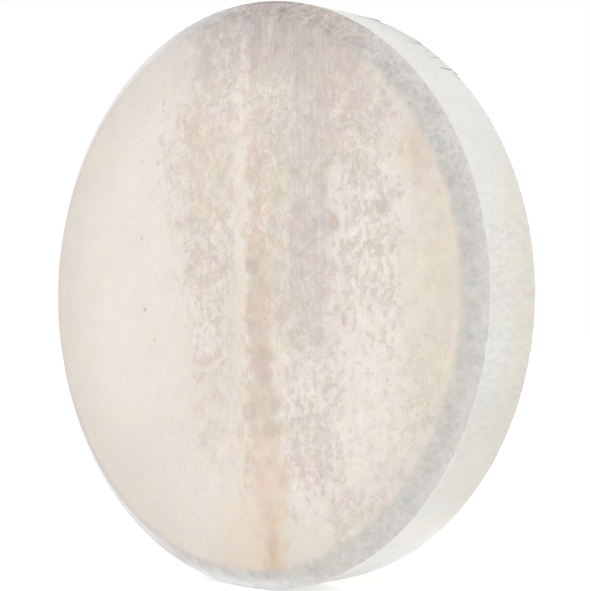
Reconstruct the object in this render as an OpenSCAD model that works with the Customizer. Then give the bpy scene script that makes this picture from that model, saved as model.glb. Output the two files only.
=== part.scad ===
// Frame drum of the shaman kind, held in one hand by a bound ring behind the head.
// A wet rawhide is drawn over a bevelled three-ply hoop, turned in behind it and laced to the ring.
// Frame: the ring's centre is the origin, the head faces -Y, the player stands on +Y, and +Z is up.

/* [Drum] */
// Diameter over the hide
drum_d = 500; // [420:5:600]
// Depth from the playing face to the rear rest face
drum_depth = 78; // [70:1:100]
// Radial width of the bevel round the playing face
bevel_w = 15; // [10:0.5:16]
// Depth of that bevel along the drum's axis
bevel_h = 13; // [9:0.5:18]

/* [Hide] */
// Thickness of the rawhide
hide_t = 1.2; // [0.8:0.1:1.8]
// Radius of the hide over the inner edge of the bevel, where the playing face ends
face_round = 6; // [4:0.5:8]
// Radius of the hide over the outer edge of the bevel, where the side begins
side_round = 2.5; // [2.5:0.25:5]
// Radius of the hide over the rear outer edge
rear_round = 6; // [4:0.5:9]
// Free hide from the hoop's inner wall to the lacing holes
hole_inset = 24; // [22:1:32]
// Hide from the lacing holes to its edge
hem_w = 9; // [7:0.5:12]
// Depth of the scallops in the hide's edge
scallop_h = 4; // [2:0.5:5]

/* [Hoop] */
// Thickness of one bent ply
ply_t = 6; // [5.5:0.25:8]
// Length of the scarf joint in each ply
scarf_len = 42; // [24:2:60]
// Radius of the hoop's inner edges
hoop_round = 2; // [1:0.25:2.5]

/* [Lacing] */
// Diameter of the twisted rawhide thong
thong_d = 4; // [3:0.25:4.5]
// Distance from the axis to the throat, where the strands of a spoke start to fan out
throat_r = 104; // [96:1:116]
// How much further out each inner column of strands leaves the spoke
peel = 5; // [5:0.5:8]
// Length of the tails that are turned back into a spoke
tail_len = 24; // [12:1:40]

/* [Grip] */
// Diameter of the steel ring at the middle of its bar
ring_d = 76; // [68:1:84]
// Diameter of the ring's bar
ring_bar = 8; // [6:0.5:10]
// How far the ring lies inside the rear rest face
ring_recess = 26; // [25:1:32]
// Width of the leather lace that binds the spokes and the ring
lace_w = 4; // [3:0.25:5]
// Thickness of that lace
lace_t = 1.6; // [1:0.1:2]

/* [Clearances] */
// Glue line between plies and between hoop and hide
glue_gap = 0.2; // [0.1:0.05:0.3]
// Gap between neighbouring strands in a spoke
strand_gap = 0.6; // [0.5:0.1:1]
// Gap between a thong and what it passes through or round
thong_gap = 0.6; // [0.5:0.05:0.8]
// Gap under the leather lace
lace_gap = 0.4; // [0.3:0.05:0.6]
// Gap between the hoop's inner wall and the bend where the hide turns in behind it
lip_gap = 0.5; // [0.3:0.1:1]
// Gap between neighbouring turns of the lace
turn_gap = 0.5; // [0.45:0.05:1]

/* [Hidden] */
$fn = 96;

// Colours of the finishes
RAWHIDE = [0.89, 0.86, 0.81];
THONG = [0.80, 0.70, 0.54];
ASH = [0.76, 0.60, 0.42];
STEEL = [0.56, 0.55, 0.53];
LEATHER = [0.36, 0.22, 0.13];

// Counts that belong to the pattern of the lacing
SPOKES = 4;
STRANDS = 8;
SIDE_COLUMNS = 2;
PLIES = 3;
HOLES = SPOKES * STRANDS;
HOLE_STEP = 360 / HOLES;
SPOKE_STEP = 360 / SPOKES;

// Where the first ply is scarfed; the others follow evenly round the hoop
FIRST_JOINT = 20;

// Steps in which round stretches are drawn
ARC_STEPS = 4;
BEND_STEPS = 3;
SCARF_STEPS = 12;
TUBE_SIDES = 6;
TURN_STEPS = 16;

// Points of a path nearer than this are one point
SAME_POINT = 0.01;
// A direction along which no path starts, from which the first ring of a tube is turned
NEVER_ALONG = [0, 0.1, 1];
// How many widths apart along a tube two stretches lie before the gap between them is measured
GAP_REACH = 4;
// Share of a cut that runs past the piece it goes through, at each end
OVERCUT = 0.05;

// Radii and planes; z runs along the drum's axis towards the head until the part is set upright
drum_r = drum_d / 2;
z_rear = -ring_recess;
z_face = z_rear + drum_depth;
bevel_a = atan2(bevel_h, bevel_w);
under = hide_t + glue_gap;
hoop_ro = drum_r - under;
hoop_t = PLIES * ply_t + (PLIES - 1) * glue_gap;
hoop_ri = hoop_ro - hoop_t;
hoop_front = z_face - under;
hoop_rear = z_rear + under;

// The turned-in hide slopes from the hoop's inner wall towards the throat of the lacing
turn_r = hoop_ri - lip_gap;
lip_a = atan2(ring_recess, turn_r - throat_r);
hole_r = hoop_ri - hole_inset;
edge_r = hole_r - hem_w;
hole_z = z_rear + (turn_r - hole_r) * tan(lip_a) + hide_t / 2 / cos(lip_a);

// Strands of a spoke
thong_r = thong_d / 2;
column_step = thong_d + strand_gap;
throat_z = column_step / 2;
ring_r = ring_d / 2;
loop_r = ring_bar / 2 + thong_r + thong_gap;
lift = hide_t / 2 + thong_r + thong_gap;
bundle_half = SIDE_COLUMNS * column_step;

// The lace round the spokes and the ring
lace_step = lace_w + turn_gap;
lace_r = thong_r + lace_gap + lace_t / 2;
ring_lace_r = ring_bar / 2 + lace_gap + lace_t / 2;

function unit(v) = v / norm(v);
function reversed(list) = [for (i = [len(list) - 1 : -1 : 0]) list[i]];
function mix(a, b, t) = a * (1 - t) + b * t;

// Points of an arc in the plane of a section, with angles counted from +y towards +x
function section_arc(centre, r, from, to) =
    [for (i = [0 : ARC_STEPS]) let (a = mix(from, to, i / ARC_STEPS)) centre + r * [sin(a), cos(a)]];

// Outside of the rim, drawn inwards by the given depth: face edge, bevel edge and rear edge
function rim_line(depth) = let (
    side_a = 90 - bevel_a,
    face_edge = [drum_r - bevel_w - face_round * tan(bevel_a / 2), z_face - face_round],
    side_edge = [drum_r - side_round, z_face - bevel_h - side_round * tan(side_a / 2)],
    rear_edge = [drum_r - rear_round, z_rear + rear_round])
    concat(section_arc(face_edge, face_round - depth, 0, bevel_a),
           section_arc(side_edge, side_round - depth, bevel_a, 90),
           section_arc(rear_edge, rear_round - depth, 90, 180));

// One side of the hide's section, from the axis of the drum round to its free edge
function hide_side(depth) = concat(
    [[0, z_face - depth]],
    rim_line(depth),
    [[turn_r + depth * tan(lip_a / 2), z_rear + depth],
     [edge_r + depth * sin(lip_a), z_rear + (turn_r - edge_r) * tan(lip_a) + depth * cos(lip_a)]]);

// Section of the glued-up hoop: the rim under the hide, and inner edges rounded by hand
function hoop_section() = concat(
    rim_line(under),
    section_arc([hoop_ri + hoop_round, hoop_rear + hoop_round], hoop_round, 180, 270),
    section_arc([hoop_ri + hoop_round, hoop_front - hoop_round], hoop_round, 270, 360));

// A path through corners given as [point, length of its bend, steps of its bend]
function bent_path(corners) = let (
    last = len(corners) - 1,
    points = [for (i = [0 : last]) let (
        corner = corners[i][0], bend = corners[i][1], steps = corners[i][2])
        if (i == 0 || i == last || steps == 0) corner
        else let (
            start = corner + bend * unit(corners[i - 1][0] - corner),
            end = corner + bend * unit(corners[i + 1][0] - corner))
            each [for (j = [0 : steps]) let (t = j / steps)
                mix(mix(start, corner, t), mix(corner, end, t), t)]])
    [for (i = [0 : len(points) - 1]) if (i == 0 || norm(points[i] - points[i - 1]) > SAME_POINT) points[i]];

// Direction of a path at each of its points
function tangents(path) = let (last = len(path) - 1)
    [for (i = [0 : last]) unit(path[min(i + 1, last)] - path[max(i - 1, 0)])];

// Rings of a round tube along a path, each turned as little as can be from the one before it
function tube_rings(path, r) = let (
    along = tangents(path),
    sides = [for (i = 0, side = unit(cross(along[0], NEVER_ALONG));
             i < len(path);
             i = i + 1, side = i < len(path) ? unit(side - along[i] * (side * along[i])) : side) side])
    [for (i = [0 : len(path) - 1]) let (up = cross(along[i], sides[i]))
        [for (k = [0 : TUBE_SIDES - 1]) let (a = 360 * k / TUBE_SIDES)
            path[i] + r * (sides[i] * cos(a) + up * sin(a))]];

// Least gap between stretches of a tube that lie more than reach apart along it
function least_gap(path, width, reach) = let (
    steps = [for (i = [1 : len(path) - 1]) norm(path[i] - path[i - 1])],
    run = [for (i = 0, s = 0; i < len(path); s = s + (i < len(steps) ? steps[i] : 0), i = i + 1) s])
    min([for (i = [0 : len(path) - 1]) for (j = [i + 1 : 1 : len(path) - 1])
        if (run[j] - run[i] > reach) norm(path[j] - path[i]) - width]);

// A closed solid through a row of rings that all have as many points
module skin(rings) {
    count = len(rings[0]);
    last = len(rings) - 1;
    points = [for (ring = rings) each ring];
    walls = [for (i = [0 : last - 1]) for (k = [0 : count - 1]) let (
        a = i * count + k, b = i * count + (k + 1) % count)
        each [[a, a + count, b], [b, a + count, b + count]]];
    caps = [for (k = [1 : count - 2]) each
        [[0, k, k + 1], [last * count, last * count + k + 1, last * count + k]]];
    polyhedron(points = points, faces = concat(walls, caps));
}

// Turns what is modelled along z so that the head faces -Y
module upright() {
    rotate([90, 0, 0]) children();
}

// One bent strip of the hoop, counted from the inside, with its ends scarfed together
module ply(index) {
    ri = hoop_ri + index * (ply_t + glue_gap);
    joint_a = FIRST_JOINT + index * 360 / PLIES;
    sweep_a = scarf_len / ri * 180 / PI;
    scarf = [for (side = [-1, 1]) for (i = [0 : SCARF_STEPS]) let (
        t = (side < 0 ? i : SCARF_STEPS - i) / SCARF_STEPS,
        cut = mix(-OVERCUT, 1 + OVERCUT, t),
        a = joint_a + sweep_a * cut,
        r = ri + ply_t * cut + side * glue_gap / 2)
        r * [cos(a), sin(a)]];
    color(ASH) upright() difference() {
        rotate_extrude() intersection() {
            polygon(hoop_section());
            translate([ri, z_rear]) square([ply_t, drum_depth]);
        }
        translate([0, 0, z_rear]) linear_extrude(drum_depth) polygon(scarf);
    }
}

// The whole hide: playing face, bevel, side, rear rim and the scalloped hem with its lacing holes
module drumhead() {
    hole_d = thong_d + 2 * thong_gap;
    hole_cut = 2 * hide_t;
    scallop_cut = (turn_r - edge_r) * tan(lip_a) + hole_cut / cos(lip_a);
    land = hole_d / 2;
    scallop_half = edge_r * sin(HOLE_STEP / 2) - land;
    scallop_r = (scallop_half * scallop_half + scallop_h * scallop_h) / (2 * scallop_h);
    color(RAWHIDE) upright() difference() {
        rotate_extrude() polygon(concat(hide_side(0), reversed(hide_side(hide_t))));
        for (k = [0 : HOLES - 1]) {
            rotate([0, 0, (k + 0.5) * HOLE_STEP]) translate([hole_r, 0, hole_z])
                rotate([0, lip_a, 0]) cylinder(h = hole_cut, d = hole_d, center = true);
            rotate([0, 0, k * HOLE_STEP])
                translate([edge_r * cos(HOLE_STEP / 2) + scallop_h - scallop_r, 0, z_rear])
                cylinder(h = scallop_cut, r = scallop_r);
        }
    }
}

// The steel ring that the hand closes round, at the middle of the drum
module grip_ring() {
    color(STEEL) upright() rotate_extrude() translate([ring_r, 0]) circle(d = ring_bar);
}

// Strand k of a spoke on the +x axis: its column, its layer and its corners from throat to hole
function column(k) = floor((k + 1) / 2) - SIDE_COLUMNS;
function layer(k) = k % 2 == 0 ? 1 : -1;
function strand_z(s) = mix(loop_r, throat_z, (s - ring_r) / (throat_r - ring_r));
function strand(k) = let (
    a = (k - (STRANDS - 1) / 2) * HOLE_STEP,
    hole = [hole_r * cos(a), hole_r * sin(a), hole_z],
    back = [-sin(lip_a) * cos(a), -sin(lip_a) * sin(a), -cos(lip_a)],
    side = column(k) * column_step,
    leave = throat_r + peel * (SIDE_COLUMNS + 1 - abs(column(k))))
    [[[throat_r, side, layer(k) * throat_z], 0, 0],
     [[leave, side, layer(k) * throat_z], peel, BEND_STEPS],
     [hole + lift * back, lift, BEND_STEPS],
     [hole - lift * back, lift, BEND_STEPS]];

// The loop round the ring's bar in one column, from the rear layer to the front one
function ring_loop(c) = let (side = c * column_step, inner = sqrt(ring_r * ring_r - side * side) - loop_r)
    [for (front = [-1, 1]) [[inner, side, front * loop_r], loop_r, BEND_STEPS]];

// End of the thong, turned back along its own spoke under the lace
function tail(c, front) = let (end = ring_r + tail_len)
    [[[end, c * column_step, front * strand_z(end)], 0, 0]];

// One unbroken thong: tail, ring, and then hole, hole, ring over and over to the other tail
function lacing_corners() = concat(
    tail(-SIDE_COLUMNS, -1),
    ring_loop(-SIDE_COLUMNS),
    [for (k = [0 : 2 : STRANDS - 2]) each concat(
        strand(k), reversed(strand(k + 1)), ring_loop(column(k + 1)))],
    tail(SIDE_COLUMNS, 1));

// The thong of one spoke; spokes are counted from +x the way the angles run
module lacing(spoke) {
    path = bent_path(lacing_corners());
    echo(piece = "lacing", points = len(path), least_gap = least_gap(path, thong_d, GAP_REACH * thong_d));
    color(THONG) upright() rotate([0, 0, spoke * SPOKE_STEP]) skin(tube_rings(path, thong_r));
}

// A ring of the flat lace: its middle, the way out of what it binds and the way along that
function lace_ring(middle, out, along) =
    [for (corner = [[-1, -1], [1, -1], [1, 1], [-1, 1]])
        middle + corner[0] * lace_w / 2 * along + corner[1] * lace_t / 2 * out];

// Spots of the lace round a spoke: progress, angle of its outer side, flank and layer of its corner
function wrap_spots(turns) = let (last = turns * TURN_STEPS, quarter = TURN_STEPS / 4) concat(
    [[0, 0, 1, 0]],
    [for (i = [0 : last - 1]) let (corner = floor(i / quarter) % 4)
        [(i + 0.5) / last,
         90 * (corner + (i % quarter) / (quarter - 1)),
         corner == 0 || corner == 3 ? 1 : -1,
         corner < 2 ? 1 : -1]],
    [[1, 360, 1, 0]]);

// The lace wound round the strands of one spoke, from the ring out to the throat
module spoke_wrap(spoke) {
    start = ring_r + ring_bar / 2 + lace_w;
    turns = floor((throat_r - lace_w - start) / lace_step);
    spots = wrap_spots(turns);
    path = [for (spot = spots) let (s = start + turns * lace_step * spot[0])
        [s, spot[2] * bundle_half + lace_r * cos(spot[1]), spot[3] * strand_z(s) + lace_r * sin(spot[1])]];
    echo(piece = "spoke_wrap", turns = turns, least_gap = least_gap(path, lace_w, GAP_REACH * lace_w));
    color(LEATHER) upright() rotate([0, 0, spoke * SPOKE_STEP])
        skin([for (i = [0 : len(path) - 1]) let (a = spots[i][1])
            lace_ring(path[i], [0, cos(a), sin(a)], [1, 0, 0])]);
}

// The lace wound round the bar of the ring between one spoke and the next
module ring_wrap(spoke) {
    middle_a = (spoke + 0.5) * SPOKE_STEP;
    inner = ring_r - ring_lace_r - lace_t / 2;
    spoke_half_a = asin((bundle_half + thong_r + thong_gap) / inner);
    room = inner * (SPOKE_STEP - 2 * spoke_half_a) * PI / 180;
    turns = floor((room - lace_w) / lace_step);
    last = turns * TURN_STEPS;
    span_a = turns * lace_step / inner * 180 / PI;
    turn = [for (i = [0 : last]) 360 * i / TURN_STEPS];
    place = [for (i = [0 : last]) middle_a + span_a * (i / last - 0.5)];
    out = [for (i = [0 : last]) [cos(turn[i]) * cos(place[i]), cos(turn[i]) * sin(place[i]), sin(turn[i])]];
    path = [for (i = [0 : last])
        ring_r * [cos(place[i]), sin(place[i]), 0] + ring_lace_r * out[i]];
    echo(piece = "ring_wrap", turns = turns, least_gap = least_gap(path, lace_w, GAP_REACH * lace_w));
    color(LEATHER) upright()
        skin([for (i = [0 : last]) lace_ring(path[i], out[i], [sin(place[i]), -cos(place[i]), 0])]);
}

ply(0);  // hoop_inner_ply
ply(1);  // hoop_middle_ply
ply(2);  // hoop_outer_ply
drumhead();
grip_ring();
lacing(0);  // lacing_right
lacing(1);  // lacing_top
lacing(2);  // lacing_left
lacing(3);  // lacing_bottom
spoke_wrap(0);  // spoke_wrap_right
spoke_wrap(1);  // spoke_wrap_top
spoke_wrap(2);  // spoke_wrap_left
spoke_wrap(3);  // spoke_wrap_bottom
ring_wrap(0);  // ring_wrap_upper_right
ring_wrap(1);  // ring_wrap_upper_left
ring_wrap(2);  // ring_wrap_lower_left
ring_wrap(3);  // ring_wrap_lower_right
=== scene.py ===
# %% [markdown]
# # A frame drum with a laced hide
# The drum is a bent wooden hoop with a wet rawhide drawn over it. Behind the hoop the hide is laced to
# a steel ring, which the player holds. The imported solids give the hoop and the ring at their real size.
# This lesson adds what was drawn, twisted and wound by hand, which is the hide, the thongs and the
# leather bindings. It then gives every piece its finish, and sets up the light and the camera.

# %% Load the frame
import math
from types import SimpleNamespace

import bmesh
import bpy
import numpy as np
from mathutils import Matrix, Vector


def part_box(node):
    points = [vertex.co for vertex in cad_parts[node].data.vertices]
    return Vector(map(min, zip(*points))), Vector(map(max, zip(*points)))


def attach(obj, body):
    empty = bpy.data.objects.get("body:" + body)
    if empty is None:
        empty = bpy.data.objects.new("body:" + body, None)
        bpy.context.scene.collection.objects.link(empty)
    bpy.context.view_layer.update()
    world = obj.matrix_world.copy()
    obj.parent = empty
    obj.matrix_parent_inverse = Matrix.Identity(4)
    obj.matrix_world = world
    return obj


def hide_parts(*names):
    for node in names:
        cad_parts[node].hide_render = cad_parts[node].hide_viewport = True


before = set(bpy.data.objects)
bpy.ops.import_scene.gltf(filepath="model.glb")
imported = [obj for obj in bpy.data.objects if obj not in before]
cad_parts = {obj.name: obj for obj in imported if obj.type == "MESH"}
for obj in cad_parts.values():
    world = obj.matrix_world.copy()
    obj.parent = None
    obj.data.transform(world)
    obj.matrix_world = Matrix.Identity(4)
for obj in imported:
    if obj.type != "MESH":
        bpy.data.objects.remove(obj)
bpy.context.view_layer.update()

# %% [markdown]
# ## Sizes
# Everything is in metres. The middle of the grip ring is the origin, the head faces -Y, and +Z is up.
# Along the drum's axis we count a height from the ring's plane towards the head. What the solids can
# tell is measured on them, and the maker's other sizes are written once here.

# %% Sizes of the hoop and the ring, read from the solids
MM = 0.001


def node_points(name):
    """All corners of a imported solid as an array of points."""
    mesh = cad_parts[name].data
    points = np.empty(len(mesh.vertices) * 3)
    mesh.vertices.foreach_get("co", points)
    return points.reshape(-1, 3)


head_low, head_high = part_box("drumhead")
ring_low, ring_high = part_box("grip_ring")
hoop_points = node_points("hoop_inner_ply")
DRUM_R = head_high.x
FACE_H = -head_low.y
REAR_H = -head_high.y
HOOP_INNER_R = np.hypot(hoop_points[:, 0], hoop_points[:, 2]).min()
RING_BAR = ring_high.y - ring_low.y
RING_R = ring_high.x - RING_BAR / 2
print(f"drum {2 * DRUM_R / MM:.0f} mm across and {(FACE_H - REAR_H) / MM:.0f} mm deep,",
      f"ring {2 * RING_R / MM:.0f} mm across")

# %% Sizes of the hide, the lacing and the bindings
BEVEL_W, BEVEL_H = 15 * MM, 13 * MM
FACE_ROUND, SIDE_ROUND, REAR_ROUND = 6 * MM, 2.5 * MM, 6 * MM
HIDE_T = 1.2 * MM
LIP_GAP = 0.5 * MM
HOLE_INSET, HEM_W, SCALLOP_H = 24 * MM, 9 * MM, 4 * MM
THONG_D = 4 * MM
STRAND_GAP, THONG_GAP = 0.6 * MM, 0.6 * MM
THROAT_R, PEEL, TAIL_LEN = 104 * MM, 5 * MM, 24 * MM
LACE_W, LACE_T = 4 * MM, 1.6 * MM
LACE_GAP, TURN_GAP = 0.4 * MM, 0.5 * MM
SPOKES, STRANDS, SIDE_COLUMNS = 4, 8, 2
HOLES = SPOKES * STRANDS

HOLE_STEP = 2 * math.pi / HOLES
SPOKE_STEP = 2 * math.pi / SPOKES
TURN_R = HOOP_INNER_R - LIP_GAP
LIP_A = math.atan2(-REAR_H, TURN_R - THROAT_R)
HOLE_R = HOOP_INNER_R - HOLE_INSET
EDGE_R = HOLE_R - HEM_W
HOLE_D = THONG_D + 2 * THONG_GAP
print(f"{HOLES} lacing holes at {HOLE_R / MM:.1f} mm from the axis,",
      f"on a lip of {math.degrees(LIP_A):.1f} degrees")

# %% [markdown]
# ## From arrays to pieces
# A piece starts as a grid of points worked out in one go by numpy. Neighbouring points become quads,
# and where a grid closes on itself its rows or columns lie on each other. Welding those doubles closes
# the seams and the poles, so that no special case is needed for them. After the weld the faces are
# turned outwards, and each new piece rides on the drum's only body in place of its plain solid.

# %% Helpers for pieces
WELD = 0.004 * MM


def stand(points):
    """Takes points as across, up and height, and sets them upright with the head towards -Y."""
    return np.stack([points[..., 0], -points[..., 2], points[..., 1]], axis=-1)


def grid_quads(rows, columns):
    """Corner numbers of the quads between neighbouring rows and columns of a grid of points."""
    corner = np.arange((rows - 1) * columns).reshape(rows - 1, columns)[:, :-1]
    return np.stack([corner, corner + 1, corner + columns + 1, corner + columns], axis=-1).reshape(-1, 4)


def make_piece(name, node, slot, points, quads, values):
    """Makes a closed mesh of points and quads, with named values at its points, that stands for a solid."""
    mesh = bpy.data.meshes.new(name)
    mesh.from_pydata(points.reshape(-1, 3), [], quads)
    for label, value in values.items():
        vector = value.ndim == points.ndim
        attribute = mesh.attributes.new(label, "FLOAT_VECTOR" if vector else "FLOAT", "POINT")
        attribute.data.foreach_set("vector" if vector else "value", value.astype(np.float32).ravel())
    work = bmesh.new()
    work.from_mesh(mesh)
    bmesh.ops.remove_doubles(work, verts=work.verts, dist=WELD)
    bmesh.ops.recalc_face_normals(work, faces=work.faces)
    open_edges = sum(not edge.is_manifold for edge in work.edges)
    work.to_mesh(mesh)
    work.free()
    mesh.shade_smooth()
    piece = bpy.data.objects.new(name, mesh)
    bpy.context.scene.collection.objects.link(piece)
    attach(piece, "root")
    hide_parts(node)
    print(f"{name}: {len(mesh.vertices)} points, {len(mesh.polygons)} faces, {open_edges} open edges")
    return piece


print("a grid of 3 by 3 points has", len(grid_quads(3, 3)), "quads")

# %% [markdown]
# ## The hide's section
# Cut through the rim, the hide is one line: flat over the face, down the bevel, along the side, round
# the rear edge of the hoop, and inwards as a lip that slopes towards the ring. The Screw modifier could
# turn such a line into a skin, but the lip has holes and scallops, so the line is kept as rows of a grid
# and swept round by hand. The same line, drawn in by the hide's thickness, is its flesh side.

# %% The line of the section
FACE_ROWS, BEVEL_ROWS, SIDE_ROWS, REAR_ROWS = 8, 5, 16, 6
FACE_ARC, SIDE_ARC, REAR_ARC = 6, 5, 7


def run_length(path):
    """Length of a path up to each of its points."""
    return np.concatenate([[0], np.cumsum(np.linalg.norm(np.diff(path, axis=0), axis=1))])


def arc(centre, radius, start, end, steps):
    """Points of an arc; angles in radians run from the head's direction outwards."""
    angle = np.linspace(start, end, steps + 1)
    return np.array(centre) + radius * np.stack([np.sin(angle), np.cos(angle)], axis=-1)


def span(start, end, steps):
    """Points from start towards end in equal steps, without the end."""
    share = np.linspace(0, 1, steps, endpoint=False)[:, None]
    return np.asarray(start) * (1 - share) + np.asarray(end) * share


def rim_line(depth):
    """Radius and height of the hide from the middle of the face to the bend behind the hoop.

    The line is drawn in by depth: arcs round the bevel's two edges and the rear edge, joined by straights."""
    bevel_a = math.atan2(BEVEL_H, BEVEL_W)
    side_a = math.pi / 2 - bevel_a
    face_c = (DRUM_R - BEVEL_W - FACE_ROUND * math.tan(bevel_a / 2), FACE_H - FACE_ROUND)
    side_c = (DRUM_R - SIDE_ROUND, FACE_H - BEVEL_H - SIDE_ROUND * math.tan(side_a / 2))
    rear_c = (DRUM_R - REAR_ROUND, REAR_H + REAR_ROUND)
    face_arc = arc(face_c, FACE_ROUND - depth, 0, bevel_a, FACE_ARC)
    side_arc = arc(side_c, SIDE_ROUND - depth, bevel_a, math.pi / 2, SIDE_ARC)
    rear_arc = arc(rear_c, REAR_ROUND - depth, math.pi / 2, math.pi, REAR_ARC)
    bend = (TURN_R + depth * math.tan(LIP_A / 2), REAR_H + depth)
    return np.concatenate([
        span((0, FACE_H - depth), face_arc[0], FACE_ROWS), face_arc,
        span(face_arc[-1], side_arc[0], BEVEL_ROWS)[1:], side_arc,
        span(side_arc[-1], rear_arc[0], SIDE_ROWS)[1:], rear_arc,
        span(rear_arc[-1], bend, REAR_ROWS)[1:], [bend]])


outer_line = rim_line(0)
REACH = run_length(outer_line)
REACH_BEVEL = DRUM_R - BEVEL_W
REACH_SIDE = REACH_BEVEL + math.hypot(BEVEL_W, BEVEL_H)
REACH_REAR = REACH_SIDE + FACE_H - BEVEL_H - REAR_H
print(f"{len(outer_line)} rows from the middle of the face to the bend, {REACH[-1] / MM:.0f} mm of hide")

# %% [markdown]
# ## Holes, scallops and tucks
# Between two lacing holes the grid is one sector. Boolean cuts could open the holes, but they leave uneven
# triangles. Here the sector's edges draw back along a circle in the rows that cross a hole, and that opens it
# without cutting anything. The free edge follows the scallops that the maker's knife left between the holes.
# Spare hide gathers there too: each sector has one tuck, a low step that starts a little way up the side and
# runs over the rear edge.

# %% Rows of the lip and columns of a sector
LIP_ROWS, HOLE_ROWS, HEM_ROWS, COLUMNS = 5, 9, 4, 20
COLUMN_CROWDING = 0.6
hole_reach = (TURN_R - HOLE_R + HIDE_T / 2 * math.sin(LIP_A)) / math.cos(LIP_A)
REACH_HOLE = REACH[-1] + hole_reach
round_hole = np.linspace(0, math.pi, HOLE_ROWS)
hole_rows, half_hole = hole_reach - HOLE_D / 2 * np.cos(round_hole), HOLE_D / 2 * np.sin(round_hole)
lip_start = np.linspace(0, hole_rows[0], LIP_ROWS + 1)[1:-1]
FIRST_HOLE = len(outer_line) + len(lip_start)
hem_share = np.linspace(0, 1, HEM_ROWS + 1)[1:]
even = np.linspace(-1, 1, COLUMNS + 1)
column = even - COLUMN_CROWDING * np.sin(2 * math.pi * even) / (2 * math.pi)
sector = np.arange(HOLES)[:, None, None]


def edge_radius(angle):
    """Radius of the free edge: a plain circle at the holes, and a round scallop cut into it between them."""
    land = HOLE_D / 2
    half = EDGE_R * math.sin(HOLE_STEP / 2) - land
    scallop_r = (half ** 2 + SCALLOP_H ** 2) / (2 * SCALLOP_H)
    centre = EDGE_R * math.cos(HOLE_STEP / 2) + SCALLOP_H - scallop_r
    off = angle - HOLE_STEP * np.round(angle / HOLE_STEP)
    across = np.clip(centre * np.sin(off) / scallop_r, -1, 1)
    return np.maximum(EDGE_R, centre * np.cos(off) + scallop_r * np.sqrt(1 - across ** 2))


print(f"each sector has {COLUMNS} columns, a hole is a ring of {2 * HOLE_ROWS - 2} points")

# %% Tucks
# Sectors where more hide gathered, counted from the right over the top, and the height of their tuck in mm
DEEP_TUCKS = {4: 0.9, 5: 0.8, 6: 1.2, 10: 0.8, 13: 1.1, 17: 0.9, 21: 1.2, 22: 0.7}
# From and to in mm: height of a plain tuck, its length on the side, and its distance from the sector's middle
LOW_TUCK, TUCK_LEN, TUCK_OFF = (0.1, 0.35), (10, 18), (-1.5, 1.5)
# A higher tuck is longer by a multiple of its height; on the lip all of them fade out
TUCK_GROWTH, TUCK_FADE = 8, 40 * MM
TUCK_EDGE, TUCK_W, CREASE_W = 0.7 * MM, 18 * MM, 1.1 * MM
rng = np.random.default_rng(7)


def per_sector(low, high):
    """One random length for each sector, between two lengths in millimetres."""
    return rng.uniform(low, high, HOLES)[:, None, None] * MM


tuck_side = rng.choice([-1, 1], HOLES)[:, None, None]
tuck_height = per_sector(*LOW_TUCK)
for k, height in DEEP_TUCKS.items():
    tuck_height[k] = height * MM
tuck_length = per_sector(*TUCK_LEN) + TUCK_GROWTH * tuck_height
tuck_shift = per_sector(*TUCK_OFF)


def soft_step(value, low, high):
    """Goes from 0 at low to 1 at high without a kink at either end."""
    share = np.clip((value - low) / (high - low), 0, 1)
    return share * share * (3 - 2 * share)


def tucks(angle, reach):
    """Height of the tucks above the hide, and how dark the painted shade in their fold is.

    Across a tuck the hide steps up within a millimetre and sinks back slowly; along it, the step grows
    from nothing on the side to its full height at the rear edge, and dies out on the lip."""
    across = tuck_side * (angle - sector * HOLE_STEP) * DRUM_R - tuck_shift
    along = soft_step(reach, REACH_REAR - tuck_length, REACH_REAR)
    along = along * soft_step(reach, REACH_REAR + TUCK_FADE, REACH_REAR)
    step = soft_step(across, -TUCK_EDGE, TUCK_EDGE) * (1 - soft_step(across, 0, TUCK_W))
    tuck_shade = np.exp(-(across / CREASE_W) ** 2) * along * tuck_height / tuck_height.max()
    return tuck_height * step * along, tuck_shade


print("tucks from", (tuck_height.min() / MM).round(1), "to", (tuck_height.max() / MM).round(1), "mm high")

# %% [markdown]
# ## The hide as one closed skin
# Solidify could give a single sheet its thickness, but its rim would stay square. Here the grid runs out over
# the grain side, round the free edge and back over the flesh side, so the skin has a real thickness and a
# rounded edge, and closes on itself. Short walls line the holes. Three values travel with the points for the
# finish: the reach along the section, whether it is the flesh side, and the painted shade in the tucks'
# creases.

# %% Points of one side of the hide
HEM_CURL, EDGE_ROUND = 1.2 * MM, 0.35 * MM
# A slow wave of the side: its height, and how far behind the bevel and before the rear edge it sets in
SIDE_WAVE, WAVE_FRONT, WAVE_REAR = 0.12 * MM, 25 * MM, 15 * MM


def unit(vectors):
    """Vectors of the same direction and of length one."""
    return vectors / np.linalg.norm(vectors, axis=-1, keepdims=True)


def everywhere(rows):
    """One value to a row, the same in every sector and column."""
    return np.broadcast_to(rows[:, None], (HOLES, len(rows), COLUMNS + 1))


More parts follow.
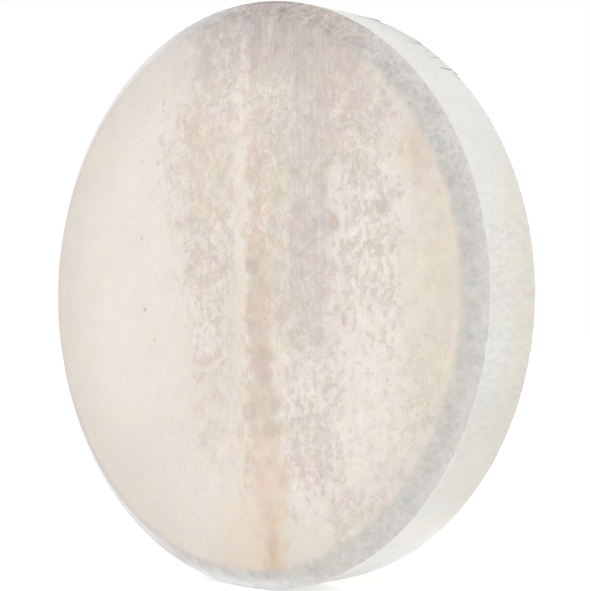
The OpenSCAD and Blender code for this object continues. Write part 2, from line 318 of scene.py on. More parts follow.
def hide_side(depth):
    """Points, reach and painted tuck shade of one side of the hide, as arrays of sector, row and column.

    A row is a radius and a height. The tucks, a slow wave and the curl of the hem move it outwards."""
    opening = np.zeros(FIRST_HOLE + HOLE_ROWS + HEM_ROWS)
    opening[FIRST_HOLE:FIRST_HOLE + HOLE_ROWS] = half_hole / HOLE_R
    angle = sector * HOLE_STEP + column * (HOLE_STEP / 2 - opening[:, None])
    lip_end = (TURN_R - edge_radius(angle[:, -HEM_ROWS:])) / math.cos(LIP_A) - EDGE_ROUND
    hem = hole_rows[-1] + (lip_end - hole_rows[-1]) * hem_share[:, None]
    lip = np.concatenate([everywhere(np.concatenate([lip_start, hole_rows])), hem], axis=1)
    rim = rim_line(depth)
    lip_r = TURN_R - lip * math.cos(LIP_A) + depth * math.sin(LIP_A)
    lip_h = REAR_H + lip * math.sin(LIP_A) + depth * math.cos(LIP_A)
    radius = np.concatenate([everywhere(rim[:, 0]), lip_r], axis=1)
    height = np.concatenate([everywhere(rim[:, 1]), lip_h], axis=1)
    reach = np.concatenate([everywhere(REACH), REACH[-1] + lip], axis=1)
    along = unit(np.gradient(np.stack([radius[0, :, 0], height[0, :, 0]], axis=-1), axis=0))
    lift, tuck_shade = tucks(angle, reach)
    share = np.clip((reach - REACH[-1]) / (hole_reach + HEM_W), 0, 1)
    lift = lift + HEM_CURL * share ** 2 * (0.5 + 0.5 * np.cos((angle - sector * HOLE_STEP) * HOLES))
    on_side = soft_step(reach, REACH_SIDE, REACH_SIDE + WAVE_FRONT)
    on_side = on_side * soft_step(reach, REACH_REAR, REACH_REAR - WAVE_REAR)
    lift = lift + SIDE_WAVE * on_side * (1 + np.sin(5 * angle + 1.3) + 0.7 * np.sin(11 * angle))
    radius, height = radius - along[:, 1:] * lift, height + along[:, :1] * lift
    return np.stack([radius * np.cos(angle), radius * np.sin(angle), height], axis=-1), reach, tuck_shade


print("one side of the hide has", FIRST_HOLE + HOLE_ROWS + HEM_ROWS, "rows")

# %% Build the hide
def both_sides(value):
    """A value of the grain side's rows, for the free edge and the flesh side as well."""
    return np.concatenate([value, value[:, -1:], value[:, ::-1]], axis=1)


def build_hide():
    """Joins grain side, free edge and flesh side into one grid per sector, and walls up the holes."""
    grain, reach, tuck_shade = hide_side(0)
    flesh = hide_side(HIDE_T)[0]
    edge = (grain[:, -1:] + flesh[:, -1:]) / 2
    edge *= 1 - EDGE_ROUND / EDGE_R * np.array([1, 1, 0])
    points = stand(np.concatenate([grain, edge, flesh[:, ::-1]], axis=1))
    rows, columns = points.shape[1:3]
    outer = FIRST_HOLE + np.arange(HOLE_ROWS - 1)
    inner = rows - 1 - outer
    wall = np.stack([outer, outer + 1, inner - 1, inner], axis=-1) * columns
    quads = np.concatenate([grid_quads(rows, columns), wall, wall + columns - 1])
    quads = (sector * rows * columns + quads).reshape(-1, 4)
    flesh_side = everywhere((np.arange(rows) > grain.shape[1]).astype(float))
    return points, quads, {"reach": both_sides(reach), "tuck_shade": both_sides(tuck_shade), "flesh": flesh_side}


hide = make_piece("hide", "drumhead", "rawhide", *build_hide())

# %% [markdown]
# ## Thongs
# Each spoke is one long strip of rawhide, twisted while wet into a round thong. It loops over the ring,
# runs out to a hole, comes back through the next one, and so on round its quarter of the drum. Blender
# curves with a bevel could draw it, but a twisted strip has a section that turns as it runs, so the path
# is worked out first and a section is then carried along it.

# %% A path through corners, and the directions across it
BEND_STEPS = 14
FIRST_GUESS = (0.31, 0.17, 1.0)


def bent_path(corners, spacing):
    """A path through corners given as a point and the length of its bend, with points at an even spacing.

    Each bend is a quadratic curve that leaves the straight before the corner and joins the one after."""
    point = np.array([corner[0] for corner in corners])
    bend = np.array([corner[1] for corner in corners])[1:-1, None]
    middle = point[1:-1]
    start = (middle + bend * unit(point[:-2] - middle))[:, None]
    end = (middle + bend * unit(point[2:] - middle))[:, None]
    t = np.linspace(0, 1, BEND_STEPS)[None, :, None]
    curves = (1 - t) ** 2 * start + 2 * t * (1 - t) * middle[:, None] + t ** 2 * end
    line = np.concatenate([point[:1], curves.reshape(-1, 3), point[-1:]])
    run = run_length(line)
    stops = np.linspace(0, run[-1], round(run[-1] / spacing))
    return np.stack([np.interp(stops, run, line[:, axis]) for axis in range(3)], axis=-1)


def steady_sides(path):
    """Two directions across a path that turn with it and never spin about it.

    Any first guess of a side is carried one step along the path; the angle by which the next guess differs
    is summed along the path and taken off again."""
    along = unit(np.gradient(path, axis=0))
    guess = unit(np.cross(along, unit(np.array(FIRST_GUESS))))
    up = np.cross(along, guess)
    carried = guess[:-1] - np.sum(guess[:-1] * along[1:], axis=1, keepdims=True) * along[1:]
    spin = np.arctan2(np.sum(carried * up[1:], axis=1), np.sum(carried * guess[1:], axis=1))
    turn = np.concatenate([[0], np.cumsum(spin)])[:, None]
    side = guess * np.cos(turn) + up * np.sin(turn)
    return side, np.cross(along, side)


# %% The route of one spoke's thong
THONG_R = THONG_D / 2
COLUMN_STEP = THONG_D + STRAND_GAP
THROAT_H = COLUMN_STEP / 2
LOOP_R = RING_BAR / 2 + THONG_R + THONG_GAP
LIFT = HIDE_T / 2 + THONG_R + THONG_GAP
HOLE_H = REAR_H + (TURN_R - HOLE_R) * math.tan(LIP_A) + HIDE_T / 2 / math.cos(LIP_A)


def strand_height(out):
    """Height of a strand above the ring's plane, from the loops at the ring down to the throat."""
    share = (out - RING_R) / (THROAT_R - RING_R)
    return LOOP_R * (1 - share) + THROAT_H * share


def strand(k):
    """Corners of strand k from the throat of the spoke to its hole, and through that to the front."""
    angle = (k - (STRANDS - 1) / 2) * HOLE_STEP
    ray = np.array([math.cos(angle), math.sin(angle), 0])
    back = -math.sin(LIP_A) * ray - [0, 0, math.cos(LIP_A)]
    hole = HOLE_R * ray + [0, 0, HOLE_H]
    place = (k + 1) // 2 - SIDE_COLUMNS
    layer = 1 if k % 2 == 0 else -1
    leave = THROAT_R + PEEL * (SIDE_COLUMNS + 1 - abs(place))
    side, height = place * COLUMN_STEP, layer * THROAT_H
    return [((THROAT_R, side, height), 0), ((leave, side, height), PEEL),
            (hole + LIFT * back, LIFT), (hole - LIFT * back, LIFT)]


def ring_loop(place):
    """Corners of the loop round the ring in one column, from the rear to the front."""
    side = place * COLUMN_STEP
    inner = math.sqrt(RING_R ** 2 - side ** 2) - LOOP_R
    return [((inner, side, front * LOOP_R), LOOP_R) for front in (-1, 1)]


def thong_route():
    """Corners of the whole thong: a tail, and then ring, hole, hole over and over, to the other tail."""
    end = RING_R + TAIL_LEN
    route = [((end, -SIDE_COLUMNS * COLUMN_STEP, -strand_height(end)), 0), *ring_loop(-SIDE_COLUMNS)]
    for k in range(0, STRANDS, 2):
        route += [*strand(k), *reversed(strand(k + 1)), *ring_loop((k + 2) // 2 - SIDE_COLUMNS)]
    return route + [((end, SIDE_COLUMNS * COLUMN_STEP, strand_height(end)), 0)]


PATH_STEP = 1.5 * MM
thong_path = bent_path(thong_route(), PATH_STEP)
print(f"one thong is {run_length(thong_path)[-1]:.2f} m long, in {len(thong_path)} steps")

# %% [markdown]
# ## Carrying a section along a path
# A sweep places a flat outline at every point of the path. The outline may change on the way: the thong's
# turns steadily, because the strip was twisted, and carries the groove where its two edges meet. Each
# point also remembers where it lay while the strip was straight, and the finish follows that.

# %% Sweep
def capped(rows):
    """Rows along a path, with the first and the last one twice, for the two ends of a tube."""
    return np.concatenate([rows[:1], rows, rows[-1:]])[:, None]


def sweep(path, side, up, outline):
    """Points of a closed tube: path + side * outline_x + up * outline_y, with its ends drawn to a point.

    outline has one ring of pairs for each point of the path. Gives the points, the quads, and for each point
    its place on the straight strip."""
    outline = np.concatenate([outline, outline[:, :1]], axis=1)
    outline = np.concatenate([outline[:1] * 0, outline, outline[-1:] * 0])
    run = np.broadcast_to(capped(run_length(path)[:, None]), outline.shape[:2] + (1,))
    points = capped(path) + outline[..., :1] * capped(side) + outline[..., 1:] * capped(up)
    return points, grid_quads(*outline.shape[:2]), np.concatenate([outline, run], axis=-1)


def turned(points, spoke):
    """Points turned about the drum's axis from the first spoke to another one."""
    c, s = math.cos(spoke * SPOKE_STEP), math.sin(spoke * SPOKE_STEP)
    return points @ np.array([[c, s, 0], [-s, c, 0], [0, 0, 1]])


def add_strip(name, node, slot, swept, spoke=0):
    """Makes a piece of a swept strip, turned from the first spoke to another one."""
    points, quads, straight = swept
    return make_piece(name, node, slot, stand(turned(points, spoke)), quads, {"straight": straight})


# %% The four lacings
THONG_SIDES, TWIST_PITCH = 14, 36 * MM
THONG_FLAT, GROOVE_DEPTH, GROOVE_W = 0.12, 0.42 * MM, 0.42
# The strip is uneven: length of its waves, how far they turn it, its usual width, and how much they widen it
SWAY_LEN, SWAY_TURN, THONG_USUAL, SWAY_WIDTH = 41 * MM, 0.35, 0.93, 0.02
SPOKE_NAMES = ["right", "top", "left", "bottom"]


def thong_outline(path, seed):
    """A round strip, a little flat, with the groove of its twist; it turns once in every pitch of length."""
    run = run_length(path)[:, None]
    *phases, flat_at = np.random.default_rng(seed).uniform(0, 2 * math.pi, 4)
    sway = sum(np.sin(run / (SWAY_LEN * (i + 1)) + phase) for i, phase in enumerate(phases))
    around = np.linspace(0, 2 * math.pi, THONG_SIDES, endpoint=False)[None]
    flat = 1 - THONG_FLAT / 2 + THONG_FLAT * np.cos(2 * around + flat_at)
    groove = np.abs(np.angle(np.exp(1j * (around - math.pi / 2))))
    radius = THONG_R * (THONG_USUAL + SWAY_WIDTH * sway) * flat
    radius = radius - GROOVE_DEPTH * np.exp(-(groove / GROOVE_W) ** 2)
    angle = around + 2 * math.pi * run / TWIST_PITCH + SWAY_TURN * sway
    return radius[..., None] * np.stack([np.cos(angle), np.sin(angle)], axis=-1)


lacings = []
for spoke, where in enumerate(SPOKE_NAMES):
    thong = sweep(thong_path, *steady_sides(thong_path), thong_outline(thong_path, spoke))
    lacings.append(add_strip(f"thong_{where}", f"lacing_{where}", "thong", thong, spoke))

# %% [markdown]
# ## Leather bindings
# A flat leather lace is wound round each spoke, from the ring out to the throat, and round the ring between
# the spokes. In a curve drawn by hand, every turn would be placed by eye. Here the winding is a formula: the
# lace goes round the corners of the bundle, a quarter turn at each, and moves on by its own width in every
# turn. It dips a little between the strands beneath it.

# %% Outline and ends of the lace
LACE_SIDES, LACE_POWER = 16, 0.7
LACE_R = THONG_R + LACE_GAP + LACE_T / 2
LACE_STEP = LACE_W + TURN_GAP
BUNDLE_HALF = SIDE_COLUMNS * COLUMN_STEP
# The lace's usual width, and the share and length of its waves; then length, end width and thickness of a tip
LACE_USUAL, LACE_WAVES = 1.03, [(0.03, 9 * MM), (0.02, 4 * MM)]
TIP_LEN, TIP_END, TIP_THICK = 5 * MM, 0.02, 0.55


def rounded(wave):
    """A wave from -1 to 1 raised to a power below one, which squares off the circle made of two of them."""
    return np.sign(wave) * np.abs(wave) ** LACE_POWER


def lace_outline(path, seed):
    """A flat lace with round edges (a superellipse), uneven in width, that narrows at its two tips."""
    run = run_length(path)
    phases = np.random.default_rng(seed).uniform(0, 2 * math.pi, len(LACE_WAVES))
    around = np.linspace(0, 2 * math.pi, LACE_SIDES, endpoint=False)
    flat = np.stack([LACE_W / 2 * rounded(np.cos(around)), LACE_T / 2 * rounded(np.sin(around))], axis=-1)
    width = LACE_USUAL + sum(share * np.sin(run / length + phase)
                             for (share, length), phase in zip(LACE_WAVES, phases))
    tip = np.clip(np.minimum(run, run[-1] - run) / TIP_LEN, TIP_END, 1)
    narrow = np.sqrt(tip * (2 - tip))
    return flat[None] * np.stack([width * narrow, TIP_THICK + (1 - TIP_THICK) * narrow], axis=-1)[:, None]


print(f"the lace moves on by {LACE_STEP / MM:.1f} mm in a turn")

# %% Wind the spokes
CORNER_STEPS, FLAT_STEPS = 6, 9
LACE_DIP, LACE_JITTER = 0.14 * MM, 0.12 * MM
WINDING_SEED, SPOKE_LACE_SEED, RING_LACE_SEED = 20, 30, 40


def one_turn():
    """Angle of the outer side, flank and layer of the lace once round a bundle, corner by corner."""
    rows = []
    flank, layer = [1, -1, -1, 1], [1, 1, -1, -1]
    for c in range(4):
        n = (c + 1) % 4
        quarter = math.pi / 2 * (c + np.linspace(0, 1, CORNER_STEPS))
        ones, t = np.ones(CORNER_STEPS), np.linspace(0, 1, FLAT_STEPS)[1:-1]
        rows.append(np.stack([quarter, flank[c] * ones, layer[c] * ones], axis=-1))
        rows.append(np.stack([quarter[-1] + 0 * t, flank[c] * (1 - t) + flank[n] * t,
                              layer[c] * (1 - t) + layer[n] * t], axis=-1))
    return np.concatenate(rows)


def spoke_winding(seed):
    """Path of the lace round the first spoke, with its directions along the spoke and outwards."""
    start = RING_R + RING_BAR / 2 + LACE_W
    turns = int((THROAT_R - LACE_W - start) / LACE_STEP)
    template = one_turn()
    angle, flank, layer = np.tile(template, (turns, 1)).T
    progress = (np.arange(len(angle)) + 0.5) / len(template)
    jitter = np.random.default_rng(seed).uniform(-LACE_JITTER, LACE_JITTER, turns + 1)
    out = start + LACE_STEP * progress + np.interp(progress, np.arange(turns + 1), jitter)
    dip = LACE_DIP * np.cos(2 * math.pi * flank * BUNDLE_HALF / COLUMN_STEP) * np.abs(layer)
    across = flank * BUNDLE_HALF + LACE_R * np.cos(angle)
    height = layer * strand_height(out) + (LACE_R + dip) * np.sin(angle)
    zero = np.zeros_like(angle)
    side = np.stack([zero + 1, zero, zero], axis=-1)
    up = np.stack([zero, np.cos(angle), np.sin(angle)], axis=-1)
    return np.stack([out, across, height], axis=-1), side, up


bindings = []
for spoke, where in enumerate(SPOKE_NAMES):
    path, side, up = spoke_winding(WINDING_SEED + spoke)
    lace = sweep(path, side, up, lace_outline(path, SPOKE_LACE_SEED + spoke))
    bindings.append(add_strip(f"binding_{where}", f"spoke_wrap_{where}", "lace", lace, spoke))

# %% Wind the ring
RING_TURN_STEPS = 28
RING_LACE_R = RING_BAR / 2 + LACE_GAP + LACE_T / 2


def ring_winding(spoke):
    """Path of the lace round the ring after a spoke: one angle goes round its bar, another along it."""
    inner = RING_R - RING_LACE_R - LACE_T / 2
    spoke_half = math.asin((BUNDLE_HALF + THONG_R + THONG_GAP) / inner)
    turns = int((inner * (SPOKE_STEP - 2 * spoke_half) - LACE_W) / LACE_STEP)
    t = np.linspace(0, 1, turns * RING_TURN_STEPS + 1)
    place = (spoke + 0.5) * SPOKE_STEP + turns * LACE_STEP / inner * (t - 0.5)
    turn = 2 * math.pi * turns * t
    ray = np.stack([np.cos(place), np.sin(place), 0 * t], axis=-1)
    up = np.cos(turn)[:, None] * ray + np.sin(turn)[:, None] * np.array([0, 0, 1])
    side = np.stack([np.sin(place), -np.cos(place), 0 * t], axis=-1)
    return RING_R * ray + RING_LACE_R * up, side, up


for spoke, where in enumerate(["upper_right", "upper_left", "lower_left", "lower_right"]):
    path, side, up = ring_winding(spoke)
    lace = sweep(path, side, up, lace_outline(path, RING_LACE_SEED + spoke))
    bindings.append(add_strip(f"ring_binding_{where}", f"ring_wrap_{where}", "lace", lace))

# %% [markdown]
# ## Building finishes from nodes
# A finish is a small network of nodes. Placing them by hand would do for one material, but here the same few
# steps come back many times. Each helper adds one step, so that a finish below reads like a recipe. A socket
# knows its tree, and the next node goes into the same one. Colours are written as the eye sees them on a
# screen, from 0 to 255, and made linear for the shader.

# %% Helpers for nodes and soft steps
def add_node(tree, kind, sockets=None, **settings):
    """Adds a node; sockets gives its inputs by name or number, each a plain value or another socket."""
    made = tree.nodes.new("ShaderNode" + kind)
    for key, value in settings.items():
        setattr(made, key, value)
    for key, value in (sockets or {}).items():
        if isinstance(value, bpy.types.NodeSocket):
            tree.links.new(value, made.inputs[key])
        else:
            made.inputs[key].default_value = value
    return made


def tree_of(*values):
    """The node tree of the first socket among some values."""
    return next(value.id_data for value in values if isinstance(value, bpy.types.NodeSocket))


def calc(operation, *values):
    """One step of arithmetic on numbers or sockets."""
    return add_node(tree_of(*values), "Math", dict(enumerate(values)), operation=operation).outputs[0]


def times(product, *factors):
    """The product of numbers or sockets."""
    for factor in factors:
        product = calc("MULTIPLY", product, factor)
    return product


def ease(value, low, high, bottom=0.0, top=1.0):
    """A soft step from bottom to top while value goes from low to high.

    The node's own clamp stays off. A soft step is flat past both ends anyway, and Cycles makes one more node
    of each clamp: with those, the hide's finish outgrows its store and turns black."""
    sockets = {"Value": value, "From Min": low, "From Max": high, "To Min": bottom, "To Max": top}
    made = add_node(value.id_data, "MapRange", sockets, interpolation_type="SMOOTHSTEP", clamp=False)
    return made.outputs["Result"]


def fade(value, start, end, bottom=0.0, top=1.0):
    """A soft step along a length, whose start and end are in millimetres."""
    return ease(value, start * MM, end * MM, bottom, top)


def grade(share, low, high):
    """Goes softly from low to high while a share goes from 0 to 1."""
    return ease(share, 0.0, 1.0, low, high)


def wander(value, drift, width):
    """A value moved to and fro over a width by a noise from 0 to 1."""
    return calc("MULTIPLY_ADD", calc("SUBTRACT", drift, 0.5), width, value)


def diagonal(across, up):
    """Length of the diagonal over two lengths: the root of the sum of their squares."""
    return calc("SQRT", calc("ADD", times(across, across), times(up, up)))


# %% Helpers for colours and noise
BLACK, WHITE = (0, 0, 0), (255, 255, 255)


def tone(red, green, blue):
    """A colour as a screen shows it, in 0 to 255, made linear."""
    c = np.array([red, green, blue]) / 255
    linear = np.where(c <= 0.04045, c / 12.92, ((c + 0.055) / 1.055) ** 2.4)
    return (*linear.tolist(), 1.0)


def mix(share, first, second, how="MIX"):
    """The first colour, with the second laid over it by its share; a plain colour is given as on a screen."""
    first, second = (tone(*colour) if isinstance(colour, tuple) else colour for colour in (first, second))
    sockets = {0: share, 6: first, 7: second}
    made = add_node(tree_of(share, first, second), "Mix", sockets, data_type="RGBA", blend_type=how)
    return made.outputs[2]


def lay(colour, over, *shares):
    """A colour with another one laid over it by the product of some shares."""
    return mix(times(*shares), colour, over)


def grain_over(colour, value, *shares):
    """Makes a colour darker and lighter with a value from 0 to 1; 0.5 leaves it as it is."""
    return mix(times(*shares), colour, mix(value, BLACK, WHITE), "LINEAR_LIGHT")


def noise(place, scale, detail=2.0, roughness=0.5, distortion=0.0, output="Fac"):
    """Cloudy noise from 0 to 1 with scale features to the metre."""
    sockets = {"Vector": place, "Scale": scale, "Detail": detail, "Roughness": roughness,
               "Distortion": distortion}
    return add_node(place.id_data, "TexNoise", sockets).outputs[output]


def tint_over(colour, place, scale, share):
    """Lets the red, green and blue of a colour wander on their own, by a share of cloudy noise."""
    return mix(share, colour, noise(place, scale, 4.0, 0.68, output="Color"), "LINEAR_LIGHT")


def stretch(place, factors):
    """A place squeezed along each axis, so that a pattern on it is drawn out the other way."""
    return add_node(place.id_data, "VectorMath", {0: place, 1: factors}, operation="MULTIPLY").outputs[0]


print("a screen's middle grey, made linear:", round(tone(128, 128, 128)[0], 3))

# %% Shared effects as node groups
def new_group(name, inputs, output):
    """An empty node group with numbers or vectors as inputs and one number as output."""
    group = bpy.data.node_groups.new(name, "ShaderNodeTree")
    for label, default in inputs.items():
        kind = "NodeSocketVector" if label == "Place" else "NodeSocketFloat"
        socket = group.interface.new_socket(label, in_out="INPUT", socket_type=kind)
        if default is not None:
            socket.default_value = default
    group.interface.new_socket(output, in_out="OUTPUT", socket_type="NodeSocketFloat")
    return group, group.nodes.new("NodeGroupInput").outputs, group.nodes.new("NodeGroupOutput").inputs


def fibre_group():
    """Fibres: thin noise, drawn out along the third axis of the place, from 0 to 1."""
    group, given, result = new_group("Fibres", {"Place": None, "Fineness": 800.0, "Length": 12.0}, "Fibre")
    squeeze = calc("DIVIDE", 1.0, given["Length"])
    drawn = stretch(given["Place"], add_node(group, "CombineXYZ", {0: 1.0, 1: 1.0, 2: squeeze}).outputs[0])
    group.links.new(ease(noise(drawn, given["Fineness"], 3.0, 0.6), 0.3, 0.7), result[0])
    return group


def blotch_group():
    """Ragged blotches on a flat place: curled clouds with some round cells, cut off at a level.

    Cover from 0 to 1 says how much they fill: a low one leaves blotches, a high one only light veins."""
    inputs = {"Place": None, "Size": 150.0, "Cover": 0.5, "Softness": 0.16}
    group, given, result = new_group("Blotches", inputs, "Blotch")
    place, size = given["Place"], given["Size"]
    cloud = ease(noise(place, size, 3.0, 0.6, 0.8), 0.25, 0.75)
    cells = add_node(group, "TexVoronoi", {"Vector": place, "Scale": size}, voronoi_dimensions="2D")
    middle = ease(cells.outputs["Distance"], 0.8, 0.1)
    herd = noise(place, times(size, 0.25), 2.0)
    level = calc("MULTIPLY_ADD", cloud, 0.65, times(middle, 0.15))
    level = calc("MULTIPLY_ADD", herd, 0.5, calc("SUBTRACT", level, 0.15))
    limit = calc("SUBTRACT", 1.0, given["Cover"])
    low, high = (calc(sign, limit, given["Softness"]) for sign in ("SUBTRACT", "ADD"))
    group.links.new(ease(level, low, high), result[0])
    return group


def pore_group():
    """Pores: small round dots round the middles of random cells, 1 in the middle of a dot."""
    group, given, result = new_group("Pores", {"Place": None, "Per metre": 900.0, "Width": 0.3}, "Pore")
    cells = add_node(group, "TexVoronoi", {"Vector": given["Place"], "Scale": given["Per metre"]})
    group.links.new(ease(cells.outputs["Distance"], given["Width"], 0.0), result[0])
    return group


FIBRES, BLOTCHES, PORES = fibre_group(), blotch_group(), pore_group()
print("effects:", FIBRES.name, BLOTCHES.name, PORES.name)

# %% Helpers for materials
def use_group(group, **sockets):
    """Places a shared effect in the tree of its sockets and gives back what it puts out."""
    sockets = {key.replace("_", " "): value for key, value in sockets.items()}
    return add_node(tree_of(*sockets.values()), "Group", sockets, node_tree=group).outputs[0]


def new_finish(name):
    """A new material with its tree, an empty Principled shader and the place on the object."""
    material = bpy.data.materials.new(name)
    material.use_nodes = True
    tree = material.node_tree
    place = add_node(tree, "TexCoord").outputs["Object"]
    return material, tree, tree.nodes["Principled BSDF"], place


def value_of(tree, name, kind="Fac"):
    """A value that travels with the points of a piece."""
    return add_node(tree, "Attribute", attribute_name=name).outputs[kind]


def split(place):
    """The three coordinates of a place."""
    return add_node(place.id_data, "SeparateXYZ", {0: place}).outputs


def feed(shader, relief, height, strength, **sockets):
    """Links sockets to a shader, and raises its surface by a relief times a height in millimetres."""
    tree = shader.id_data
    raised = add_node(tree, "Bump", {"Height": relief, "Distance": height * MM, "Strength": strength})
    for label, socket in {**sockets, "Normal": raised.outputs[0]}.items():
        tree.links.new(socket, shader.inputs[label.replace("_", " ")])


# %% [markdown]
# ## The rawhide
# A scraped hide keeps the marks of the animal. Along its back runs a darker line, with a brown to orange
# tone that wanders. On both sides of it lie bands of stain that break up into ragged blotches, dense at the
# crown and thin below. The flanks stay a plain cream. Painting an image would give this too, but here every
# mark is a formula in the place on the face: soft bands say how much stain there is, and noise decides where
# it breaks. The blotches therefore stay crisp at any size.

# %% Marks of the face, in millimetres across and up from its middle
# The second cream is the ground greyed by painted shade near the rim.
CREAM, SHADED_RIM_CREAM, RIGHT_CREAM = (241, 233, 225), (226, 218, 209), (228, 217, 203)
STAIN_WARM, STAIN_GREY, STAIN_OLIVE = (209, 193, 182), (201, 190, 186), (202, 193, 182)
CROWN, SPOT_TONE, FIBRE_TONE = (188, 177, 174), (200, 184, 170), (207, 195, 183)
# Bands of stain: left, right, softness across, bottom, top, softness up, cover by blotches, and even veil
STAIN_BANDS = [
    (-63, -6, 14, -48, 400, 80, 0.62, 0.06),
    (-106, -62, 22, 75, 185, 40, 0.42, 0.05),
    (-90, 5, 22, 190, 400, 28, 0.06, 0.18),
    (5, 160, 22, 190, 400, 28, 0.18, 0.46),
    (-10, 12, 6, 30, 400, 40, 0.24, 0.0),
    (10, 54, 8, -60, 400, 40, 0.60, 0.16),
    (56, 102, 11, -50, 400, 28, 0.58, 0.54),
    (109, 174, 16, -30, 175, 40, 0.54, 0.03),
    (-60, 5, 30, -178, -50, 46, 0.36, 0.07),
    (5, 115, 20, -192, -50, 42, 0.42, 0.04),
    (-84, -60, 14, 10, 90, 40, 0.14, 0.02),
    (110, 225, 26, -195, -40, 40, 0.30, 0.0),
    (100, 165, 14, -215, -165, 16, 0.26, 0.04),
    (180, 225, 20, -120, 110, 40, 0.20, 0.0),
    (54, 104, 14, -160, -100, 20, 0.16, 0.10),
    (98, 142, 12, 105, 400, 34, 0.20, 0.54),
]
WANDER, FACE_WANDER, MOST_COVER, MOST_VEIL = 5.0, 24, 0.85, 0.8
# Patches of colour: left, right, softness across, bottom, top, softness up, strength and tone
PATCHES = [
    (-20, 55, 24, -300, -145, 34, 0.35, (229, 209, 190)), (180, 200, 10, 94, 126, 16, 0.6, (216, 195, 173)),
    (170, 230, 14, -75, 50, 30, 0.4, (224, 217, 202)), (-8, 8, 6, 40, 160, 30, 0.42, (242, 231, 217)),
    (38, 52, 6, -95, -30, 16, 0.6, (243, 232, 218)), (3, 11, 4, -130, 45, 20, 0.15, (241, 225, 204)),
    # The first patch on the line below darkens the face near the rim at the lower left: painted shade.
    (-200, -60, 50, -230, -110, 40, 0.5, (226, 217, 208)), (36, 54, 6, -10, 110, 25, 0.4, (220, 205, 186)),
    (-150, -45, 25, 180, 400, 30, 0.5, (227, 221, 217)), (-70, -10, 15, 60, 160, 40, 0.3, (233, 216, 199)),
    (-14, 4, 5, -105, 20, 25, 0.35, (221, 211, 203)), (-70, -5, 20, -130, -60, 30, 0.35, (230, 212, 199)),
]
# Round spots: across, up, radius and how dark; then the shares of the radius where they start and are full
SPOTS = [(107, 57, 7.0, 0.75), (154, 68, 6, 0.5), (43, -94, 7, 0.45), (14, -99, 9, 0.4), (17, -114, 7, 0.3),
         (36, -113, 7.5, 0.4), (17, 24, 8, 0.45), (30, -52, 8, 0.4), (-120, 52, 1.6, 0.6),
         (-102, 18, 1.4, 0.4), (-115, -12, 1.7, 0.7), (-102, -39, 1.4, 0.4)]
SPOT_START, SPOT_FULL = 1.25, 0.65
# The line along the back: up, half width and tone, from the bottom to the top
SPINE = [(-240, 10, (216, 190, 167)), (-212, 11, (220, 197, 176)), (-180, 14, (227, 206, 187)),
         (-150, 17, (230, 207, 187)), (-112, 19, (222, 206, 191)), (-92, 19, (217, 201, 188)),
         (-72, 13, (214, 198, 184)), (-45, 12, (213, 196, 181)), (5, 11, (213, 196, 181)),
         (35, 9, (218, 199, 184)), (60, 7, (221, 196, 181)), (100, 8, (222, 202, 188)),
         (165, 8, (227, 210, 197))]
SPINE_X, SPINE_SLANT, SPINE_WIDEST, SPINE_WANDER, CORE_WANDER = 22, 0.09, 25, 36, 10
print(len(STAIN_BANDS), "bands,", len(SPOTS), "spots,", len(SPINE), "stops along the back")

# %% Soft bands, patches and spots
def band(value, low, high, soft):
    """1 between low and high, 0 outside, with soft edges; sizes in millimetres."""
    return times(fade(value, low - soft, low + soft), fade(value, high + soft, high - soft))


def patch(across, up, left, right, soft, bottom, top, soft_up):
    """1 inside a soft oblong on the face, 0 outside."""
    return times(band(across, left, right, soft), band(up, bottom, top, soft_up))


def stain_amounts(at):
    """How much the blotches cover, and how strong the even veil is: both are sums over the soft bands.

    The edges of a band wander with the drift, a noise from 0 to 1, and a softer band wanders further."""
    cover = veil = 0.0
    for *sides, band_cover, band_veil in STAIN_BANDS:
        inside = patch(wander(at.x, at.drift, WANDER * sides[2] * MM), at.z, *sides)
        cover = calc("MULTIPLY_ADD", inside, band_cover, cover)
        veil = calc("MULTIPLY_ADD", inside, band_veil, veil)
    return calc("MINIMUM", cover, MOST_COVER), calc("MINIMUM", veil, MOST_VEIL)


def spots(across, up):
    """The darkest of the round spots at a place on the face."""
    darkest = 0.0
    for x, z, radius, dark in SPOTS:
        far = diagonal(calc("SUBTRACT", across, x * MM), calc("SUBTRACT", up, z * MM))
        darkest = calc("MAXIMUM", darkest, fade(far, radius * SPOT_START, radius * SPOT_FULL, 0.0, dark))
    return darkest


def spine_ramp(up):
    """Tone of the line along the back at a height, and its half width as a share of the widest."""
    low, high = SPINE[0][0], SPINE[-1][0]
    sockets = {"Value": up, "From Min": low * MM, "From Max": high * MM}
    ramp = add_node(up.id_data, "ValToRGB", {0: add_node(up.id_data, "MapRange", sockets).outputs[0]})
    stops = ramp.color_ramp.elements
    while len(stops) < len(SPINE):
        stops.new(0.5)
    for stop, (height, half, colour) in zip(stops, SPINE):
        stop.position = (height - low) / (high - low)
        stop.color = (*tone(*colour)[:3], half / SPINE_WIDEST)
    return ramp.outputs["Color"], ramp.outputs["Alpha"]


# %% Where a point of the hide lies
AT_BEVEL, AT_SIDE, AT_REAR, AT_HOLE = np.array([REACH_BEVEL, REACH_SIDE, REACH_REAR, REACH_HOLE]) / MM


def flat_place(across, up, *squeeze):
    """A place on a flat pattern; a squeeze below 1 draws the pattern out upwards."""
    return add_node(across.id_data, "CombineXYZ", {0: across, 1: times(up, *squeeze)}).outputs[0]


def hide_places(tree, place):
    """Where a point lies on the face and along the section, with the drift that moves its marks."""
    at = SimpleNamespace(place=place)
    at.reach = value_of(tree, "reach")
    at.fibre = use_group(FIBRES, Place=place, Fineness=620.0, Length=12.0)
    at.x, _, at.z = split(place)
    at.flat = flat_place(at.x, at.z)
    at.drift = noise(at.flat, 28.0, 3.0, 0.6)
    at.across = wander(at.x, at.drift, FACE_WANDER * MM)
    return at


rawhide, hide_tree, hide_shader, hide_place = new_finish("rawhide")
at = hide_places(hide_tree, hide_place)
print("the rawhide starts with", len(hide_tree.nodes), "nodes")

